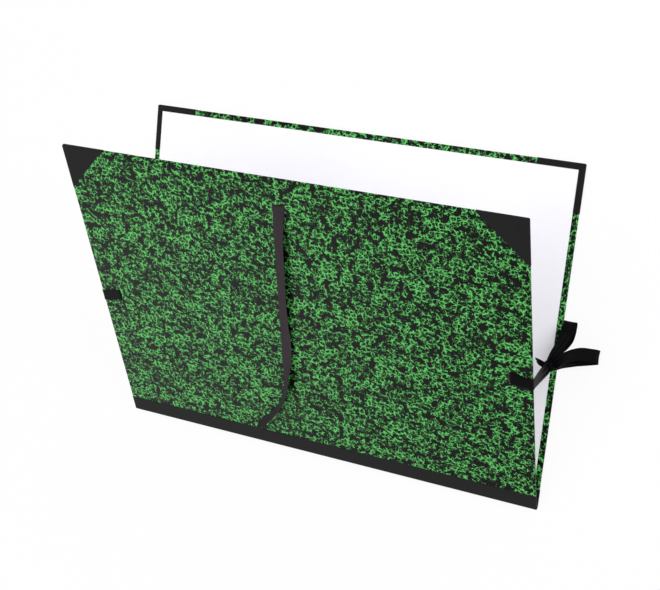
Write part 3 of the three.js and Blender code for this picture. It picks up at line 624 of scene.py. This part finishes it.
paper_edge = BOARD_EDGE + GLUE + PAPER / 2
paper_end = BOARD_END + GLUE + PAPER / 2
paper_low, paper_high = CLOTH - PAPER / 2, TURN_IN + PAPER / 2
diagonal = COVER_WIDTH / 2 + COVER_DEPTH - CORNER_LEG - GLUE * np.sqrt(2)
corner_x = diagonal - paper_end
foot = SPINE_BAND + GLUE
flat_edge, flat_end = paper_edge - PAPER_FOLD, paper_end - PAPER_FOLD
for side, flip in COVERS.items():
    slot_x = flip * TOP_SLOT[0]
    side_lines = np.concatenate([np.linspace(corner_x, SIDE_SLOT[0] - SLOT_WIDE / 2, 5),
                                 np.linspace(SIDE_SLOT[0] + SLOT_WIDE / 2, flat_edge, 5)[:-1]])
    half = folded_edge(side_lines, paper_edge, paper_low, paper_high, LINING_EDGE + GLUE, PAPER_FOLD)
    columns = two_sided(half)
    centre = np.concatenate([np.linspace(-corner_x, slot_x - SLOT_LONG / 2, 8)[1:],
                             np.linspace(slot_x + SLOT_LONG / 2, corner_x, 8)[:-1]])
    split = len(half[0])
    between = (np.c_[centre, 0 * centre + paper_low], np.c_[0 * centre, 0 * centre - 1], centre)
    columns = tuple(np.concatenate([part[:split], added, part[split:]])
                    for part, added in zip(columns, between))
    up_lines = np.concatenate([np.linspace(foot, SIDE_SLOT[1] - SLOT_LONG / 2, 6),
                               np.linspace(SIDE_SLOT[1] + SLOT_LONG / 2, LAST_FULL_ROW, 6),
                               np.linspace(LAST_FULL_ROW + 6, TOP_SLOT[1] - SLOT_WIDE / 2, 3),
                               np.linspace(TOP_SLOT[1] + SLOT_WIDE / 2, flat_end, 4)[:-1]])
    rows = folded_edge(up_lines, paper_end, paper_low, paper_high, LINING_END + GLUE, PAPER_FOLD)
    middle, out, uv = cover_grid(columns, rows)
    # beside the cloth corners the upper rows are squeezed under the diagonal cut
    plan, above = np.abs(middle[..., 0]), middle[..., 1] - LAST_FULL_ROW
    top = np.minimum(diagonal - plan, flat_end)
    beside = (plan > corner_x - 1e-6) & (above > 0)
    squeezed = LAST_FULL_ROW + above * (top - LAST_FULL_ROW) / (flat_end - LAST_FULL_ROW)
    middle[..., 1] = np.where(beside, squeezed, middle[..., 1])
    uv[..., 1] = np.where(beside, middle[..., 1], uv[..., 1])
    mx = (middle[:-1, :-1, 0] + middle[1:, 1:, 0]) / 2
    my = (middle[:-1, :-1, 1] + middle[1:, 1:, 1]) / 2
    keep = np.ones(mx.shape, dtype=bool)
    keep[len(up_lines):, :] = (np.abs(mx[0]) < corner_x)[None, :]
    keep &= ~((np.abs(mx - slot_x) < SLOT_LONG / 2) & (np.abs(my - TOP_SLOT[1]) < SLOT_WIDE / 2))
    keep &= ~((np.abs(np.abs(mx) - SIDE_SLOT[0]) < SLOT_WIDE / 2)
              & (np.abs(my - SIDE_SLOT[1]) < SLOT_LONG / 2))
    middle, out = in_place(side, middle), in_place(side, out, places=False)
    uv[..., 1] += PATTERN_SHIFT * (flip < 0)
    paper = build_piece(f"{side}_marbled_sheet", *thick_sheet(middle, out, PAPER, keep, uv))
    paint(paper, marbled)
    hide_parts(f"{side}_cover_paper")
    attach(paper, f"{side}_cover")


# Bookcloth corners. A triangle of black bookcloth is glued over each outer corner, over the paper,
# and folded in over both edges to the lining, with a mitre at the tip.
CLOTH_FOLD = 0.45         # radius of the cloth's folds
bookcloth, shader = new_material("bookcloth")
shader.inputs["Specular IOR Level"].default_value = 0.12
shader.inputs["Sheen Weight"].default_value = 0.02
cloth_place = add_node(bookcloth, "ShaderNodeUVMap", uv_map="flat")
warp_threads = add_node(bookcloth, "ShaderNodeTexWave", wave_type="BANDS", bands_direction="X",
                        Scale=520.0, Distortion=1.2, Detail=2.0)
weft_threads = add_node(bookcloth, "ShaderNodeTexWave", wave_type="BANDS", bands_direction="Y",
                        Scale=520.0, Distortion=1.2, Detail=2.0)
thread_sum = add_node(bookcloth, "ShaderNodeMath", operation="ADD")
cloth_bump = add_node(bookcloth, "ShaderNodeBump", Strength=0.35, Distance=0.00008)
cloth_tone = add_node(bookcloth, "ShaderNodeValToRGB")
cloth_tone.color_ramp.elements[0].position = 0.25
cloth_tone.color_ramp.elements[0].color = (0.0045, 0.0045, 0.0050, 1)
cloth_tone.color_ramp.elements[1].color = (0.013, 0.013, 0.014, 1)
rub = add_node(bookcloth, "ShaderNodeTexNoise", Scale=60.0, Detail=4.0)
rub_sum = add_node(bookcloth, "ShaderNodeMath", operation="MULTIPLY")
for threads_node, slot_index in ((warp_threads, 0), (weft_threads, 1)):
    link(bookcloth, cloth_place.outputs["UV"], threads_node.inputs["Vector"])
    link(bookcloth, threads_node.outputs["Fac"], thread_sum.inputs[slot_index])
link(bookcloth, cloth_place.outputs["UV"], rub.inputs["Vector"])
link(bookcloth, thread_sum.outputs["Value"], cloth_bump.inputs["Height"])
link(bookcloth, cloth_bump.outputs["Normal"], shader.inputs["Normal"])
link(bookcloth, thread_sum.outputs["Value"], rub_sum.inputs[0])
link(bookcloth, rub.outputs["Fac"], rub_sum.inputs[1])
link(bookcloth, rub_sum.outputs["Value"], cloth_tone.inputs["Fac"])
link(bookcloth, cloth_tone.outputs["Color"], shader.inputs["Base Color"])
rubbed = add_node(bookcloth, "ShaderNodeMapRange", To_Min=0.6, To_Max=0.8)
link(bookcloth, rub.outputs["Fac"], rubbed.inputs["Value"])
link(bookcloth, rubbed.outputs["Result"], shader.inputs["Roughness"])

tip_x, tip_y = COVER_WIDTH / 2 - CLOTH / 2, COVER_DEPTH - CLOTH / 2
cloth_low, cloth_high = CLOTH / 2, TURN_IN + CLOTH / 2


def corner_sheet(hand):
    """Grid of a cloth corner in a cover's own frame. A line runs from each place on the diagonal
    cut to a place on the edge path, over the edge and in to the lining; the path goes along the
    fore-edge to the tip, round it on a small arc, and down the side edge."""
    tip_round, inset = 1.2, 0.3
    side_steps, flat_rows = 10, 8
    q = np.linspace(0, 1, side_steps)
    arc = np.linspace(0, np.pi / 2, 7)
    reach = CORNER_LEG - tip_round
    first = np.c_[tip_x - CORNER_LEG + inset + (reach - inset) * q, 0 * q + tip_y]
    bend = np.c_[tip_x - tip_round + tip_round * np.sin(arc),
                 tip_y - tip_round + tip_round * np.cos(arc)]
    last = np.c_[0 * q + tip_x, tip_y - tip_round - (reach - inset) * q]
    path = np.concatenate([first, bend[1:-1], last])
    facing = np.concatenate([np.tile([0.0, 1.0], (side_steps, 1)),
                             np.c_[np.sin(arc), np.cos(arc)][1:-1],
                             np.tile([1.0, 0.0], (side_steps, 1))])
    along = distance_run(path)
    share = (along / along[-1])[:, None]
    cut = (np.array([tip_x - CORNER_LEG, tip_y]) * (1 - share)
           + np.array([tip_x, tip_y - CORNER_LEG]) * share)
    inner = np.c_[np.minimum(path[:, 0], LINING_EDGE + GLUE), np.minimum(path[:, 1], LINING_END + GLUE)]
    start = path - facing * CLOTH_FOLD
    stations, normals = [], []
    for part in np.linspace(0, 1, flat_rows):
        flat = cut * (1 - part) + start * part
        stations.append(np.c_[flat, np.full(len(path), cloth_low)])
        normals.append(np.tile([0.0, 0.0, -1.0], (len(path), 1)))
    for angle in np.linspace(0, np.pi / 2, 6)[1:]:
        place = start + facing * CLOTH_FOLD * np.sin(angle)
        stations.append(np.c_[place, np.full(len(path), cloth_low + CLOTH_FOLD * (1 - np.cos(angle)))])
        normals.append(np.c_[facing * np.sin(angle), np.full(len(path), -np.cos(angle))])
    for angle in np.linspace(0, np.pi / 2, 6):
        place = start + facing * CLOTH_FOLD * np.cos(angle)
        stations.append(np.c_[place, np.full(len(path), cloth_high - CLOTH_FOLD * (1 - np.sin(angle)))])
        normals.append(np.c_[facing * np.cos(angle), np.full(len(path), np.sin(angle))])
    for part in (0.4, 1.0):
        flat = start * (1 - part) + inner * part
        stations.append(np.c_[flat, np.full(len(path), cloth_high)])
        normals.append(np.tile([0.0, 0.0, 1.0], (len(path), 1)))
    middle, out = np.stack(stations, axis=1), np.stack(normals, axis=1)
    middle[..., 0] *= hand
    out[..., 0] *= hand
    down = distance_run(middle[len(path) // 2])
    uv = middle[..., :2].copy()
    uv[:, flat_rows:, 0] += (down[flat_rows:] - down[flat_rows])[None, :]
    return middle, out, uv


for side, flip in COVERS.items():
    for hand, word in ((flip, "right"), (-flip, "left")):
        middle, out, uv = corner_sheet(hand)
        corner = build_piece(f"{side}_{word}_corner_cloth", *thick_sheet(
            in_place(side, middle), in_place(side, out, places=False), CLOTH, uv=uv))
        paint(corner, bookcloth)
        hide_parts(f"{side}_{word}_corner")
        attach(corner, f"{side}_cover")


# White linings. A sheet of white paper on the inner face of each cover covers the turned-in
# margins' edges, and stops 6 mm short of the cover's edges.
LINING, INNER_BAND = 0.2, 12.0
lining_paper, shader = new_material("white_lining")
shader.inputs["Roughness"].default_value = 0.8
shader.inputs["Specular IOR Level"].default_value = 0.3
lining_place = add_node(lining_paper, "ShaderNodeTexCoord")
cockle = add_node(lining_paper, "ShaderNodeTexNoise", Scale=7.0, Detail=2.0)
tooth = add_node(lining_paper, "ShaderNodeTexNoise", Scale=1400.0, Detail=3.0)
lining_tone = add_node(lining_paper, "ShaderNodeValToRGB")
lining_tone.color_ramp.elements[0].position = 0.35
lining_tone.color_ramp.elements[0].color = (0.925, 0.915, 0.960, 1)
lining_tone.color_ramp.elements[1].position = 0.65
lining_tone.color_ramp.elements[1].color = (0.950, 0.945, 0.975, 1)
lining_bump = add_node(lining_paper, "ShaderNodeBump", Strength=0.06, Distance=0.00005)
link(lining_paper, lining_place.outputs["Object"], cockle.inputs["Vector"])
link(lining_paper, lining_place.outputs["Object"], tooth.inputs["Vector"])
link(lining_paper, cockle.outputs["Fac"], lining_tone.inputs["Fac"])
link(lining_paper, lining_tone.outputs["Color"], shader.inputs["Base Color"])
link(lining_paper, tooth.outputs["Fac"], lining_bump.inputs["Height"])
link(lining_paper, lining_bump.outputs["Normal"], shader.inputs["Normal"])

x_lines = np.linspace(-LINING_EDGE, LINING_EDGE, 25)
y_lines = np.linspace(INNER_BAND + GLUE, LINING_END, 19)
for side in COVERS:
    gx, gy = np.meshgrid(x_lines, y_lines)
    middle = np.stack([gx, gy, 0 * gx + TURN_IN + LINING / 2], axis=-1)
    out = np.tile([0.0, 0.0, 1.0], (*gx.shape, 1))
    uv = np.stack([gx, gy], axis=-1)
    lining = build_piece(f"{side}_lining_sheet", *thick_sheet(
        in_place(side, middle), in_place(side, out, places=False), LINING, uv=uv))
    paint(lining, lining_paper)
    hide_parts(f"{side}_lining")
    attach(lining, f"{side}_cover")


# Cloth spine and the inner hinge strip. One strip of black bookcloth joins the covers outside and
# is folded over the boards' ends; a narrower one joins them inside, under the linings' edges.
ARM_POINTS = 6            # in the section, on each cover


def hinge_section(radius, reach, steps=28):
    """Section of a strip round the hinge line, at the strip's middle: an arm along the back cover,
    an arc about the hinge line, and an arm up the front cover. Returns places (y, z) and outward
    normals, from one end to the other, and the distance run along the strip."""
    arm = np.linspace(reach, 0.3, ARM_POINTS)
    angle = -np.pi / 2 + np.linspace(0, OPENING - np.pi, steps)
    spokes = np.c_[np.cos(angle), np.sin(angle)]
    up, beyond = spokes[-1], np.array([np.cos(OPENING), np.sin(OPENING)])
    places = np.concatenate([np.c_[arm, 0 * arm - radius], radius * spokes,
                             radius * up + arm[::-1, None] * beyond])
    normals = np.concatenate([np.tile([0.0, -1.0], (ARM_POINTS, 1)), spokes,
                              np.tile(up, (ARM_POINTS, 1))])
    return places + [HINGE_Y, HINGE_Z], normals, distance_run(places)


def hinge_sheet(radius, reach, columns, ends_folded):
    """Grid of a strip round the hinge line: section + x - height * outward normal, where the
    columns (x, height above the strip, normals) fold the strip's ends over the boards. The ends
    are folded on the two arms only."""
    places, normals, run = hinge_section(radius, reach)
    cx, cn, cu = columns
    height = cx[:, 1] - cx[:, 1].min()
    x = np.broadcast_to(cx[None, :, 0], (len(places), len(cx)))
    yz = places[:, None] - normals[:, None] * height[None, :, None]
    out_x = np.broadcast_to(cn[None, :, 0], x.shape)
    out_yz = -normals[:, None] * cn[None, :, 1, None]
    middle = np.concatenate([x[..., None], yz], axis=-1)
    middle[..., 1] += SHIFT_Y
    out = np.concatenate([out_x[..., None], out_yz], axis=-1)
    uv = np.stack(np.broadcast_arrays(cu[None, :], run[:, None]), axis=-1).astype(float)
    keep = np.ones((len(places) - 1, len(cx) - 1), dtype=bool)
    if ends_folded:
        arc_rows = np.arange(ARM_POINTS - 1, len(places) - ARM_POINTS)
        ends = np.abs(cu[:-1] + cu[1:]) / 2 > COVER_WIDTH / 2 - CLOTH / 2
        keep[np.ix_(arc_rows, ends)] = False
    return middle, out, keep, uv


spine_columns = two_sided(folded_edge(np.linspace(5, 220, 12), tip_x, cloth_low, cloth_high,
                                      LINING_EDGE + GLUE, CLOTH_FOLD))
middle, out, keep, uv = hinge_sheet(HINGE_Z - CLOTH / 2, SPINE_BAND - HINGE_Y, spine_columns, True)
spine_cloth = build_piece("spine_bookcloth", *thick_sheet(middle, out, CLOTH, keep, uv))
paint(spine_cloth, bookcloth)
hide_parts("spine_cloth")
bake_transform(spine_cloth)

flat_columns = (np.c_[x_lines, 0 * x_lines], np.tile([0.0, -1.0], (len(x_lines), 1)), x_lines)
middle, out, keep, uv = hinge_sheet(HINGE_Z - TURN_IN - LINING / 2, INNER_BAND - HINGE_Y,
                                    flat_columns, False)
hinge_strip = build_piece("inner_hinge_cloth", *thick_sheet(middle, out, LINING, keep, uv))
paint(hinge_strip, bookcloth)
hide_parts("hinge_strip")
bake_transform(hinge_strip)


# Studio: a plain white floor that keeps the folder's soft shadow, a white surround and three soft
# lamps: a large one above, one beside the fore-edge at the right and a weak one at the front left.
REACH, DROP = 6, 0.0004   # the floor's half width, and how far it lies under the folder, in metres


def seen_directly(owner):
    """1 where a surface is seen by the camera, directly, in a reflection or through glass."""
    rays = add_node(owner, "ShaderNodeLightPath")
    or_mirrored = add_node(owner, "ShaderNodeMath", operation="MAXIMUM")
    or_through = add_node(owner, "ShaderNodeMath", operation="MAXIMUM")
    link(owner, rays.outputs["Is Camera Ray"], or_mirrored.inputs[0])
    link(owner, rays.outputs["Is Glossy Ray"], or_mirrored.inputs[1])
    link(owner, or_mirrored.outputs["Value"], or_through.inputs[0])
    link(owner, rays.outputs["Is Transmission Ray"], or_through.inputs[1])
    return or_through.outputs["Value"]


floor_mesh = bpy.data.meshes.new("floor")
floor_mesh.from_pydata([(x * REACH, y * REACH, -DROP)
                        for x, y in ((-1, -1), (1, -1), (1, 1), (-1, 1))], [], [(0, 1, 2, 3)])
floor = bpy.data.objects.new("floor", floor_mesh)
bpy.context.scene.collection.objects.link(floor)
white_floor = bpy.data.materials.new("white_floor")
white_floor.use_nodes = True
white_floor.node_tree.nodes.clear()
surface = add_node(white_floor, "ShaderNodeOutputMaterial")
matt = add_node(white_floor, "ShaderNodeBsdfDiffuse", Color=(0.9, 0.9, 0.9, 1))
glow = add_node(white_floor, "ShaderNodeEmission", Color=(1, 1, 1, 1), Strength=1.0)
share_of_glow = add_node(white_floor, "ShaderNodeMath", operation="MULTIPLY")
share_of_glow.inputs[1].default_value = 0.9
floor_mix = add_node(white_floor, "ShaderNodeMixShader")
link(white_floor, seen_directly(white_floor), share_of_glow.inputs[0])
link(white_floor, share_of_glow.outputs["Value"], floor_mix.inputs["Fac"])
link(white_floor, matt.outputs["BSDF"], floor_mix.inputs[1])
link(white_floor, glow.outputs["Emission"], floor_mix.inputs[2])
link(white_floor, floor_mix.outputs["Shader"], surface.inputs["Surface"])
paint(floor, white_floor)

surround = bpy.data.worlds.new("white_surround")
surround.use_nodes = True
bpy.context.scene.world = surround
sky = surround.node_tree.nodes["Background"]
sky.inputs["Color"].default_value = (1, 1, 1, 1)
strength = add_node(surround, "ShaderNodeMapRange", To_Min=0.62, To_Max=1.0)
link(surround, seen_directly(surround), strength.inputs["Value"])
link(surround, strength.outputs["Result"], sky.inputs["Strength"])


def softbox(name, place, aim, size, watts):
    """A rectangular area lamp at place that faces aim: its -Z axis points along aim - place."""
    lamp = bpy.data.lights.new(name, "AREA")
    lamp.shape = "RECTANGLE"
    lamp.size, lamp.size_y = size
    lamp.energy = watts
    holder = bpy.data.objects.new(name, lamp)
    back = np.array(place, dtype=float) - np.array(aim, dtype=float)
    back /= np.linalg.norm(back)
    side = np.cross([0, 0, 1], back)
    side /= np.linalg.norm(side)
    up = np.cross(back, side)
    rows = [[side[k], up[k], back[k], place[k]] for k in range(3)]
    holder.matrix_world = Matrix(rows + [[0, 0, 0, 1]])
    bpy.context.scene.collection.objects.link(holder)


softbox("lamp_above", (-0.4, 0.5, 2.0), (0, 0, 0.05), (1.6, 1.6), 12)
softbox("lamp_beside", (1.3, 1.0, 0.7), (0.05, 0.0, 0.0), (1.5, 1.2), 17)
softbox("lamp_front", (-1.0, -1.3, 0.6), (-0.12, -0.08, 0.05), (1.0, 0.6), 6)
